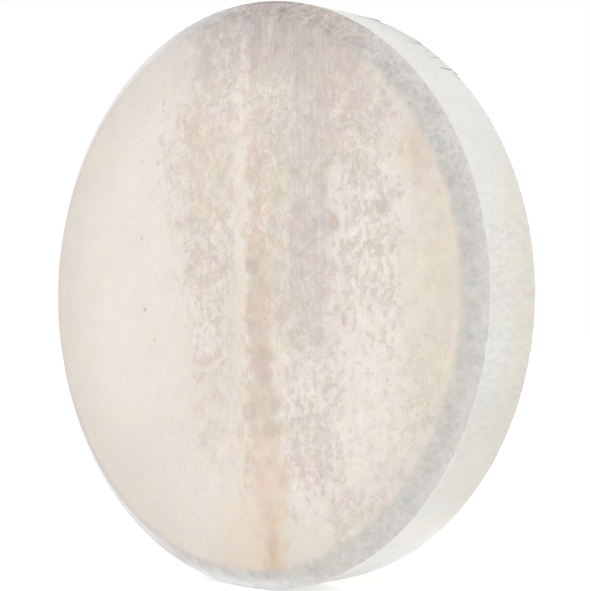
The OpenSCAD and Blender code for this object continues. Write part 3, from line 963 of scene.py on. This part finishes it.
# %% [markdown]
# ## The playing face
# The face is painted as a dyer would, in layers from the widest to the finest: a cream ground, stain, patches
# of colour, the line along the back, and at last the grain. One long function could hold it all, but a layer
# in a function of its own can be changed, or left out, without a look at the others.

# %% Ground and stain
def ground_colour(at):
    """Cream, greyed by painted shade towards the rim and yellower at the right, that wanders between pink and
    green.
    """
    from_middle = add_node(at.flat.id_data, "VectorMath", {0: at.flat}, operation="LENGTH").outputs["Value"]
    ground = lay(CREAM, SHADED_RIM_CREAM, fade(from_middle, 170, 238))
    ground = lay(ground, RIGHT_CREAM, fade(at.across, 170, 230))
    tint = noise(at.flat, 13.0, 3.0, 0.6)
    ground = lay(ground, (236, 224, 213), ease(tint, 0.5, 0.75, 0.0, 0.6))
    return lay(ground, (232, 228, 218), ease(tint, 0.5, 0.25, 0.0, 0.6))


def stain_colour(at):
    """Tone of the stain: warm at the left, grey in the middle, olive at the right, darkest at the crown."""
    hue = noise(at.flat, 55.0, 3.0, 0.55)
    stain = lay(STAIN_WARM, STAIN_GREY, fade(at.across, 44, 64), fade(at.z, -100, -30, 0.25, 1.0))
    stain = lay(stain, STAIN_OLIVE, fade(at.across, 105, 125))
    stain = lay(stain, STAIN_WARM, patch(at.across, at.z, 98, 150, 12, 95, 400, 40))
    stain = lay(stain, CROWN, fade(at.z, 160, 240))
    stain = lay(stain, (208, 186, 172), ease(hue, 0.5, 0.72, 0.0, 0.5))
    return lay(stain, (200, 194, 192), ease(hue, 0.5, 0.28, 0.0, 0.4))


def stain_over(at, ground):
    """Lays the stain on the ground: an even veil, blotches and specks, light veins, fibres and streaks."""
    at.cover, veil = stain_amounts(at)
    stain = stain_colour(at)
    tall = flat_place(at.x, at.z, 0.85)
    at.blotch = use_group(BLOTCHES, Place=tall, Size=135.0, Cover=at.cover)
    speck_cover = calc("MULTIPLY_ADD", at.cover, 0.55, 0.12)
    speck = use_group(BLOTCHES, Place=tall, Size=430.0, Cover=speck_cover, Softness=0.12)
    colour = lay(ground, stain, veil, 0.95)
    calm = patch(at.across, at.z, 55, 103, 6, -60, 400, 40)
    at.fine = patch(at.across, at.z, 122, 260, 24, -155, -55, 30)
    faint = calc("MAXIMUM", at.fine, patch(at.across, at.z, -200, 5, 12, -260, -90, 45))
    colour = lay(colour, stain, at.blotch, grade(calm, 0.6, 0.46), grade(faint, 1.0, 0.65))
    colour = lay(colour, stain, speck, grade(at.fine, 0.24, 0.5))
    worm = noise(tall, 120.0, 1.5, 0.5, 1.5)
    at.curl = ease(calc("ABSOLUTE", calc("SUBTRACT", worm, 0.5)), 0.085, 0.025)
    vein = times(at.curl, ease(noise(at.flat, 70.0), 0.40, 0.54), ease(at.cover, 0.1, 0.5))
    colour = lay(colour, ground, vein, fade(at.z, 150, 210, 1.0, 0.55), grade(calm, 0.6, 0.36))
    colour = lay(colour, stain, at.fibre, patch(at.across, at.z, -80, 112, 25, -120, 400, 60), 0.16)
    streak = use_group(FIBRES, Place=at.place, Fineness=560.0, Length=50.0)
    return grain_over(colour, streak, patch(at.across, at.z, 16, 100, 10, -10, 400, 60), 0.035)


ground = ground_colour(at)
face = stain_over(at, ground)
print("with ground and stain it has", len(hide_tree.nodes))

# %% The line along the back, grain and spots
def spine_over(at, colour, ground):
    """Lays the line along the back on a colour: noise moves its edges and breaks it."""
    spine, half = spine_ramp(at.z)
    slant = times(calc("MAXIMUM", times(at.z, -1.0), 0.0), SPINE_SLANT)
    from_spine = calc("SUBTRACT", calc("SUBTRACT", at.x, SPINE_X * MM), slant)
    at.lobes = noise(at.flat, 85.0, 3.0, 0.55)
    off = calc("ABSOLUTE", wander(from_spine, at.lobes, SPINE_WANDER * MM))
    share = calc("DIVIDE", off, times(half, SPINE_WIDEST * MM))
    foot = fade(at.z, -110, -170)
    on_spine = ease(share, grade(foot, 1.4, 2.2), grade(foot, 0.5, 0.1))
    broken = ease(noise(at.flat, 130.0, 3.0, 0.65), 0.3, 0.56, 0.45, 1.0)
    mottled = grade(at.blotch, fade(at.z, 0, 80, 0.85, 0.3), 1.0)
    at.on_spine = times(on_spine, fade(at.z, 190, 125), broken, mottled)
    colour = lay(colour, spine, at.on_spine)
    colour = lay(colour, ground, at.curl, at.on_spine, 0.14)
    core = calc("ABSOLUTE", wander(from_spine, at.lobes, CORE_WANDER * MM))
    return lay(colour, (205, 172, 150), fade(core, 7, 1.5), fade(at.z, -165, -215, 0.0, 0.28))


def grain_of_face(at, colour):
    """Makes a colour uneven: clouds and tints where stain roughened the hide, fine grit, spots and fibres."""
    rough = calc("MAXIMUM", ease(at.cover, 0.05, 0.5, 0.15, 1.0), fade(at.across, 150, 190, 0.0, 0.8))
    rough = calc("MAXIMUM", rough, times(calc("MAXIMUM", at.on_spine, at.fine), 0.9))
    colour = grain_over(colour, noise(at.flat, 65.0, 4.0, 0.65), rough, 0.16)
    colour = tint_over(colour, at.flat, 45.0, calc("MULTIPLY_ADD", rough, 0.04, 0.026))
    colour = tint_over(colour, at.flat, 17.0, 0.028)
    far_up = fade(calc("ABSOLUTE", at.z), 60, 130, 0.0, 0.04)
    grit = calc("MAXIMUM", far_up, fade(at.across, 100, 170, 0.0, 0.06))
    colour = grain_over(colour, noise(at.flat, 210.0, 4.0, 0.65), grit)
    frayed = noise(at.flat, 260.0, 3.0, 0.6)
    dots = spots(wander(at.x, at.lobes, 8 * MM), wander(at.z, frayed, 7 * MM))
    colour = lay(lay(colour, SPOT_TONE, dots), FIBRE_TONE, ease(frayed, 0.35, 0.65, 0.0, 0.14))
    return lay(colour, FIBRE_TONE, at.fibre, 0.08)


for *sides, strength, patch_tone in PATCHES:
    face = lay(face, patch_tone, patch(at.across, at.z, *sides), strength)
face = grain_of_face(at, spine_over(at, face, ground))
print("with the whole face it has", len(hide_tree.nodes))

# %% [markdown]
# ## Bevel, side and lip
# Over the bevel the hide lies on glue and wood, and it looks grey there. At the left and below it is painted
# pale, as light that falls on it there, and it starts with a sharp edge and a darker violet-grey line. The side
# is whiter, with painted light from the floor below and painted shade at the top of its rear edge, and it was
# drawn so hard that its grain runs along the drum. A few long creases cross it at the upper right, painted as
# lines of shade. The turned-in lip dried yellow, and most of all at its holes. Reach, the way along the
# section, tells where one ends and the next begins. A mask painted by hand would do the same, but only for a
# drum of this size.

# %% The bevel
EDGE_LINE_TONE = (198, 194, 198)


def bevel_tone(at, face, crown, pale, bottom):
    """Tones of the bevel: grey, lighter outwards, with painted light that makes it pale at the left and below,
    and stained at the crown.
    """
    bevel = lay((205, 200, 195), (200, 200, 194), ease(noise(at.place, 42.0, 3.0, 0.6), 0.35, 0.65))
    bevel = lay(bevel, (213, 210, 204), fade(at.reach, AT_BEVEL + 6, AT_SIDE))
    # Painted light from below: the bevel gets lighter towards the bottom.
    bevel = lay(bevel, (209, 207, 203), fade(at.z, -80, -220, 0.0, 0.7))
    bevel = lay(bevel, (200, 192, 188), fade(at.z, 120, 240, 0.0, 0.6))
    # Painted light: pale at the left, and greyer downwards.
    bevel = lay(bevel, lay((238, 235, 233), (226, 224, 225), fade(at.z, -60, -200)), pale)
    # Painted light at the very bottom, lightest towards the side.
    painted_bottom_light = lay((224, 223, 222), (246, 247, 248), fade(at.reach, AT_BEVEL + 2, AT_SIDE - 2))
    bevel = lay(bevel, painted_bottom_light, bottom, 0.9)
    return lay(bevel, lay(face, (165, 153, 149), 0.1), crown, 0.85)


def bevel_flecks(at, bevel, crown, pale, bottom):
    """Flecks and specks on the bevel: most at the top and near the face, fewest where painted light makes it
    pale.
    """
    strip = flat_place(at.round_rim, at.reach)
    upper = fade(at.z, 0, 180)
    marked = times(grade(pale, 1.0, 0.15), grade(bottom, 1.0, 0.6))
    inner = fade(at.reach, AT_BEVEL + 12, AT_BEVEL + 3, 0.6, 1.0)
    fleck = use_group(BLOTCHES, Place=strip, Size=90.0, Cover=0.46, Softness=0.2)
    fleck_tone = lay((186, 181, 177), (162, 149, 145), crown)
    bevel = lay(bevel, fleck_tone, fleck, inner, grade(upper, 0.42, 0.6), marked)
    speck = use_group(BLOTCHES, Place=strip, Size=240.0, Cover=0.38, Softness=0.16)
    speck_tone = lay((168, 164, 160), (140, 128, 124), crown)
    return lay(bevel, speck_tone, speck, marked, grade(upper, 0.2, 0.42))


def bevel_over(at, face):
    """Lays the bevel on the face from a ragged edge outwards, and a darker violet-grey line along it at the
    left.
    """
    crown = patch(at.x, at.z, -15, 130, 35, 195, 400, 30)
    # Where light is painted: pale at the left, and at the very bottom.
    pale = fade(at.x, -5, -150)
    bottom = fade(at.z, -228, -247.5)
    edge = wander(at.reach, at.ragged, grade(crown, 5 * MM, 16 * MM))
    soft = grade(crown, grade(pale, 5 * MM, 2 * MM), 7 * MM)
    start = grade(pale, REACH_BEVEL - 2 * MM, REACH_BEVEL + 1 * MM)
    share = ease(edge, calc("SUBTRACT", start, soft), calc("ADD", start, soft))
    bevel = bevel_flecks(at, bevel_tone(at, face, crown, pale, bottom), crown, pale, bottom)
    bevel = grain_over(bevel, noise(at.place, 90.0, 4.0, 0.65), 0.14)
    edge_line = times(band(at.reach, AT_BEVEL - 3.5, AT_BEVEL + 1, 2.5), fade(at.z, 120, -20, 0.35, 1.0))
    edge_line = times(edge_line, fade(at.x, 20, -100, 0.0, 0.5), fade(at.x, -190, -235, 1.0, 0.4))
    return lay(lay(face, bevel, share), EDGE_LINE_TONE, edge_line)


at.round_rim = times(calc("ARCTAN2", at.z, at.x), DRUM_R)
at.ragged = noise(at.place, 160.0, 3.0, 0.6)
outside = bevel_over(at, face)
print("with the bevel it has", len(hide_tree.nodes))

# %% Side and lip
def side_colour(at):
    """White to yellowish, with painted shade at the top of the rear edge and painted light from the floor
    below, and long worms.
    """
    rear = lay((224, 220, 209), (227, 226, 223), fade(at.z, 60, 150))
    # Painted shade at the top of the rear edge.
    rear = lay(rear, (206, 204, 200), fade(at.z, 175, 215, 0.0, 0.8))
    side = lay((229, 228, 224), rear, fade(at.reach, AT_SIDE + 15, AT_REAR))
    side = lay(side, (223, 219, 205), ease(noise(at.place, 14.0, 3.0, 0.55), 0.45, 0.7, 0.0, 0.35))
    yellow = times(band(at.z, -100, 40, 45), fade(at.reach, AT_SIDE + 15, AT_SIDE + 45), 0.6)
    side = lay(side, (223, 218, 200), yellow)
    side = lay(side, (211, 208, 201), band(at.z, -178, -70, 30), 0.6)
    # Painted light from the floor: the side is lighter near the bottom.
    low = lay((232, 230, 227), (246, 245, 243), fade(at.reach, AT_SIDE + 10, AT_REAR))
    side = lay(side, low, fade(at.z, -160, -220))
    long_strip = flat_place(at.round_rim, at.reach, 0.45)
    worm = use_group(BLOTCHES, Place=long_strip, Size=230.0, Cover=0.42, Softness=0.25)
    side = lay(side, (204, 201, 194), worm, grade(band(at.z, -130, 70, 40), 0.2, 0.42))
    return tint_over(side, flat_place(at.round_rim, at.reach, 0.4), 40.0, 0.035)


def lip_colour(at):
    """Yellow clouds on the lip, with fibres that were drawn inwards, and amber round the holes."""
    inwards = add_node(at.reach.id_data, "CombineXYZ", {0: at.round_rim, 2: at.reach}).outputs[0]
    drawn = use_group(FIBRES, Place=inwards, Fineness=300.0, Length=12.0)
    patchy = use_group(BLOTCHES, Place=at.flat, Size=75.0, Softness=0.25)
    lip = lay((230, 218, 195), (217, 199, 168), ease(noise(at.place, 24.0, 4.0, 0.6), 0.38, 0.62))
    lip = lay(lip, (203, 181, 146), patchy, 0.45)
    lip = lay(lip, (198, 176, 140), drawn, 0.3)
    return lay(lip, (194, 162, 114), fade(at.reach, AT_HOLE - 8, AT_HOLE + 9, 0.0, 0.6))


side = lay(side_colour(at), lip_colour(at), fade(at.reach, AT_REAR - 2, AT_REAR + 12))
print("with side and lip it has", len(hide_tree.nodes))

# %% Long creases of the side, painted as lines of shade
# The long creases, one to a row and painted as shade: angle in degrees, length, slant, half width in mm, and
# how dark
CREASES = [(61.4, 25, 2.2, 3.2, 0.5), (55.3, 28, 0.05, 0.9, 0.6), (53.2, 15, -0.1, 0.8, 0.55),
           (50.8, 23, -0.16, 0.8, 0.5), (46.5, 26, 0.05, 1.0, 0.75), (45.0, 10, 0.4, 0.9, 0.6),
           (43.7, 11, 0.25, 0.9, 0.65)]
# Shares of the half width where a line of shade starts and is full, share of its length where it fades, and its
# tone
CREASE_START, CREASE_FULL, CREASE_FADE, FOLD_SHADE = 1.4, 0.3, 0.7, (122, 116, 106)


def creases(at):
    """Painted shade of the long creases: dark lines from the rear edge forwards at a slant, which fade out; the
    darkest one counts.
    """
    before = calc("SUBTRACT", REACH_REAR, at.reach)
    darkest = 0.0
    for angle, length, slant, half, dark in CREASES:
        middle = calc("MULTIPLY_ADD", before, slant, math.radians(angle) * DRUM_R)
        off = calc("ABSOLUTE", calc("SUBTRACT", at.round_rim, middle))
        width = half * math.hypot(1, slant)
        line = fade(off, CREASE_START * width, CREASE_FULL * width)
        line = times(line, fade(before, length, CREASE_FADE * length, 0.0, dark))
        darkest = calc("MAXIMUM", darkest, line)
    return times(darkest, fade(before, -6, 5))


# Painted shade of the tucks and of the long creases, the darker of the two; it also sinks the bump.
fold_shade = calc("MAXIMUM", times(value_of(hide_tree, "tuck_shade"), 0.75), creases(at))
outside = lay(outside, lay(side, FOLD_SHADE, fold_shade), fade(at.reach, AT_SIDE - 0.8, AT_SIDE + 0.8))
print("with", len(CREASES), "long creases it has", len(hide_tree.nodes))

# %% Outer edge, flesh side and the finished rawhide
def edge_over(at, colour):
    """Marks the outer edge of the bevel: a light line below, broken by noise, and dark stain at the crown."""
    ridge_breaks = ease(noise(at.place, 45.0, 3.0, 0.6), 0.35, 0.65, 0.1, 0.65)
    ridge = band(at.reach, AT_SIDE - 0.2, AT_SIDE + 0.8, 0.8)
    colour = lay(colour, (244, 244, 242), ridge, ridge_breaks, fade(at.z, 100, 0))
    crown = times(patch(at.x, at.z, -5, 70, 25, 200, 400, 20), ease(at.ragged, 0.35, 0.6, 0.25, 0.7))
    return lay(colour, (138, 126, 120), crown, band(at.reach, AT_SIDE - 3, AT_SIDE + 6, 3))


def inside_colour(at, face):
    """The flesh side: the face shines through, yellowed, with broad clouds and fibres."""
    shade = use_group(BLOTCHES, Place=at.flat, Size=38.0, Softness=0.35)
    inside = lay(lay(face, (228, 209, 176), 0.5), (206, 180, 140), shade, 0.4)
    return lay(inside, (196, 172, 136), at.fibre, 0.12)


outside = edge_over(at, outside)
colour = lay(outside, inside_colour(at, face), value_of(hide_tree, "flesh"))
grain = noise(at.place, 900.0, 3.0, 0.6)
relief = calc("SUBTRACT", calc("ADD", times(at.fibre, 0.5), times(grain, 0.35)), fold_shade)
hide_shader.inputs["Specular IOR Level"].default_value = 0.3
feed(hide_shader, relief, 0.25, 0.6, Base_Color=colour, Roughness=grade(at.fibre, 0.50, 0.62))
hide.data.materials.append(rawhide)
print("finish:", rawhide.name, "with", len(hide_tree.nodes), "nodes")

# %% [markdown]
# ## Thong and lace
# The thongs are the same rawhide, dried hard in strips, so they turn amber where they are thick. The lace is
# vegetable-tanned leather: brown, with a fine grain, and worn lighter along its two edges. A pattern on
# Object coordinates would cut straight through the turns. Both finishes read the place on the straight strip
# instead, so fibres run along a thong wherever it goes.

# %% Finishes of thong and lace
def thong_finish():
    """Twisted rawhide: cream to amber, with fibres along it and a darker groove."""
    material, tree, shader, _ = new_finish("thong")
    straight = value_of(tree, "straight", "Vector")
    fibre = use_group(FIBRES, Place=straight, Fineness=900.0, Length=20.0)
    cloud = noise(straight, 60.0, 3.0, 0.6)
    colour = lay((214, 194, 158), (188, 154, 108), ease(cloud, 0.35, 0.68))
    colour = lay(colour, (160, 126, 84), fibre, 0.45)
    groove = fade(diagonal(*split(straight)[:2]), 1.65, 1.3, 0.0, 0.6)
    colour = lay(colour, (118, 88, 56), groove)
    feed(shader, fibre, 0.18, 0.7, Base_Color=colour, Roughness=ease(cloud, 0.3, 0.7, 0.38, 0.55))
    return material


def lace_finish():
    """Brown leather: grain, darker clouds, and pale worn edges."""
    material, tree, shader, _ = new_finish("lace")
    straight = value_of(tree, "straight", "Vector")
    cloud = noise(straight, 90.0, 4.0, 0.6)
    pore = use_group(PORES, Place=straight, Per_metre=1500.0, Width=0.55)
    rub = noise(straight, 260.0, 3.0, 0.65)
    colour = lay((104, 66, 40), (78, 46, 28), ease(cloud, 0.3, 0.7))
    colour = lay(colour, (58, 34, 21), pore, 0.4)
    near_edge = fade(calc("ABSOLUTE", split(straight)[0]), 1.2, 2.0)
    colour = lay(colour, (156, 112, 74), near_edge, ease(rub, 0.35, 0.65), 0.6)
    relief = calc("SUBTRACT", times(rub, 0.6), times(pore, 0.5))
    feed(shader, relief, 0.2, 0.7, Base_Color=colour, Roughness=ease(cloud, 0.3, 0.7, 0.45, 0.62))
    return material


thong_material, lace_material = thong_finish(), lace_finish()
for piece in lacings:
    piece.data.materials.append(thong_material)
for piece in bindings:
    piece.data.materials.append(lace_material)
print("finishes:", thong_material.name, lace_material.name)

# %% [markdown]
# ## Hoop and ring
# The hoop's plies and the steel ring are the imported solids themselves: their shape is right, so they only get
# a finish. The grain of a bent ply runs round the drum, and on plain Object coordinates it would look sawn
# from a board. The pattern is therefore laid on a strip: distance round the hoop, depth and thickness, found
# from the place with an arc tangent.

# %% Finishes of hoop and ring
def ash_finish():
    """Bent ash: pale bands of grain that run round the hoop, with dark pores and an oiled sheen."""
    material, tree, shader, place = new_finish("ash")
    x, y, z = split(place)
    round_hoop = times(calc("ARCTAN2", times(z, -1.0), times(x, -1.0)), DRUM_R)
    strip = add_node(tree, "CombineXYZ", {0: diagonal(x, z), 1: y, 2: round_hoop}).outputs[0]
    wave = noise(stretch(strip, (1, 1, 0.06)), 55.0, 3.0, 0.5)
    rings = calc("FRACT", times(wave, 14.0))
    early = times(ease(rings, 0.0, 0.7), ease(rings, 1.0, 0.9))
    fibre = use_group(FIBRES, Place=strip, Fineness=1400.0, Length=40.0)
    pore = use_group(PORES, Place=stretch(strip, (1, 1, 0.05)), Per_metre=900.0, Width=0.28)
    colour = lay((206, 176, 134), (176, 138, 94), early)
    colour = lay(colour, (150, 112, 72), fibre, 0.35)
    colour = lay(colour, (104, 74, 46), pore, early, 0.7)
    colour = lay(colour, (162, 120, 78), ease(noise(place, 12.0, 2.0, 0.5), 0.4, 0.75, 0.0, 0.35))
    relief = calc("SUBTRACT", times(fibre, 0.4), pore)
    feed(shader, relief, 0.15, 0.5, Base_Color=colour, Roughness=grade(early, 0.42, 0.58))
    return material


def steel_finish():
    """A plain steel ring, dulled by hands: fine scratches, darker clouds and a few brown spots."""
    material, tree, shader, place = new_finish("steel")
    cloud = noise(place, 90.0, 4.0, 0.65)
    rust = ease(noise(place, 240.0, 4.0, 0.65), 0.62, 0.7)
    colour = lay((168, 166, 162), (126, 123, 118), ease(cloud, 0.3, 0.7))
    colour = lay(colour, (104, 74, 52), rust, 0.7)
    scratches = noise(place, 1400.0, 2.0, 0.5)
    feed(shader, scratches, 0.06, 0.5, Base_Color=colour, Metallic=grade(rust, 1.0, 0.25),
         Roughness=ease(cloud, 0.3, 0.7, 0.32, 0.5))
    return material


ash_material, steel_material = ash_finish(), steel_finish()
finishes = {"hoop_inner_ply": ash_material, "hoop_middle_ply": ash_material, "hoop_outer_ply": ash_material,
            "grip_ring": steel_material}
for name, material in finishes.items():
    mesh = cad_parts[name].data
    mesh.materials.clear()
    mesh.materials.append(material)
print("solids that stay:", ", ".join(finishes))

# %% [markdown]
# ## Floor, light and camera
# The drum stands on its rim on a pale floor in a white room. The world lights everything evenly, and three
# large soft lamps give the hide some shape: one before the face, one beside the rim and one above. The floor
# glows a little, as a lit white floor does, and that fills the shadow under the rim. The room looks white to
# the camera because of the light path, not because of more light, so the hide's pale tones don't burn out.

# %% Floor and world
FLOOR_SIZE, FLOOR_LIFT, FLOOR_BOUNCE, AMBIENT = 30.0, 0.42, 0.2, 0.72
FLOOR_PAINT = (251, 251, 250)


def seen_directly(tree):
    """1 for what the camera sees, also in gloss or through glass, and 0 for light that falls on the drum."""
    path = add_node(tree, "LightPath").outputs
    gloss = calc("MAXIMUM", path["Is Glossy Ray"], path["Is Transmission Ray"])
    return calc("MAXIMUM", path["Is Camera Ray"], gloss)


floor_grid = np.linspace(-FLOOR_SIZE / 2, FLOOR_SIZE / 2, 3)
floor_points = np.stack([*np.meshgrid(floor_grid, floor_grid), np.full((3, 3), -DRUM_R)], axis=-1)
floor_mesh = bpy.data.meshes.new("floor")
floor_mesh.from_pydata(floor_points.reshape(-1, 3), [], grid_quads(3, 3))
floor = bpy.data.objects.new("floor", floor_mesh)
bpy.context.scene.collection.objects.link(floor)

floor_material = bpy.data.materials.new("floor")
floor_material.use_nodes = True
tree = floor_material.node_tree
paint = add_node(tree, "BsdfDiffuse", {"Color": tone(*FLOOR_PAINT)}).outputs[0]
lift = grade(seen_directly(tree), FLOOR_BOUNCE, FLOOR_LIFT)
glow = add_node(tree, "Emission", {"Strength": lift}).outputs[0]
both_shaders = add_node(tree, "AddShader", {0: paint, 1: glow}).outputs[0]
tree.links.new(both_shaders, tree.nodes["Material Output"].inputs["Surface"])
floor_mesh.materials.append(floor_material)

world = bpy.data.worlds.new("room")
world.use_nodes = True
bpy.context.scene.world = world
tree = world.node_tree
tree.nodes["Background"].inputs["Color"].default_value = (1, 1, 1, 1)
tree.links.new(grade(seen_directly(tree), AMBIENT, 1.0), tree.nodes["Background"].inputs["Strength"])
print(f"floor at {-DRUM_R:.3f} m, ambient light {AMBIENT}")

# %% Lamps
# Each lamp: place, size and power in watts; it looks at the middle of the drum
LAMPS = {"face_lamp": ((-1.2, -2.6, 1.3), (2.2, 2.2), 4.0), "rim_lamp": ((2.8, -0.7, 0.3), (2.0, 0.9), 5.5),
         "top_lamp": ((0.8, -0.6, 2.2), (1.6, 1.6), 15.0)}
for name, (place, size, power) in LAMPS.items():
    lamp = bpy.data.lights.new(name, "AREA")
    lamp.shape, lamp.energy = "RECTANGLE", power
    lamp.size, lamp.size_y = size
    holder = bpy.data.objects.new(name, lamp)
    holder.location = place
    holder.rotation_mode = "QUATERNION"
    holder.rotation_quaternion = (-Vector(place)).to_track_quat("-Z", "Y")
    bpy.context.scene.collection.objects.link(holder)
print("lamps:", ", ".join(LAMPS))

# %% Camera
IMAGE_W = 590
FOCAL_PX = 1598
SENSOR = 36.0
YAW, PITCH, DISTANCE = math.radians(41.59), math.radians(-0.76), 1.375
AIM = Vector((0.025, -0.00675, -0.0005))
camera_data = bpy.data.cameras.new("camera")
camera_data.sensor_fit = "HORIZONTAL"
camera_data.sensor_width = SENSOR
camera_data.lens = FOCAL_PX / IMAGE_W * SENSOR
camera = bpy.data.objects.new("camera", camera_data)
back = Vector((math.sin(YAW) * math.cos(PITCH), -math.cos(YAW) * math.cos(PITCH), math.sin(PITCH)))
camera.location = AIM + back * DISTANCE
camera.rotation_mode = "QUATERNION"
camera.rotation_quaternion = (-back).to_track_quat("-Z", "Y")
bpy.context.scene.collection.objects.link(camera)
bpy.context.scene.camera = camera
bpy.context.scene.view_settings.view_transform = "Standard"
print(f"camera {DISTANCE:.2f} m away, lens {camera_data.lens:.1f} mm")
